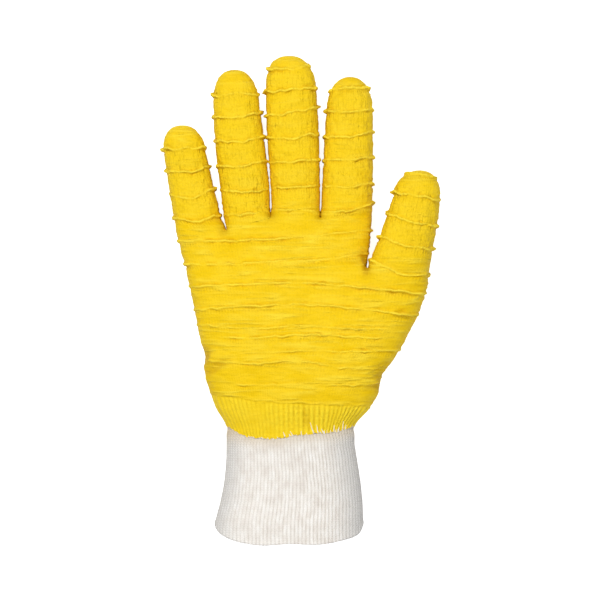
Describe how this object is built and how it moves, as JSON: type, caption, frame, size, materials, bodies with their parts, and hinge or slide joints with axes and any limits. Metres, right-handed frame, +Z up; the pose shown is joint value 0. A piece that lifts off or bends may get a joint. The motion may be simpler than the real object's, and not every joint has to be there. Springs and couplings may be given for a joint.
{
  "type": "coated knit work glove",
  "caption": "Right-hand work glove with a crinkled latex coat over a knit liner and an uncoated rib-knit wrist.",
  "frame": {"origin": "middle of the bounding box's lowest face, under the back of the hand", "axes": "+Y from the wrist to the fingertips, +Z up out of the palm, +X towards the thumb"},
  "size_m": [0.1524, 0.2658, 0.0404],
  "materials": {
    "latex_coat": "semi-matte crinkled latex",
    "cotton_rib": "undyed cotton rib knit"
  },
  "bodies": {
    "root": {"coated_hand": "latex_coat", "knit_wrist": "cotton_rib"}
  },
  "joints": []
}
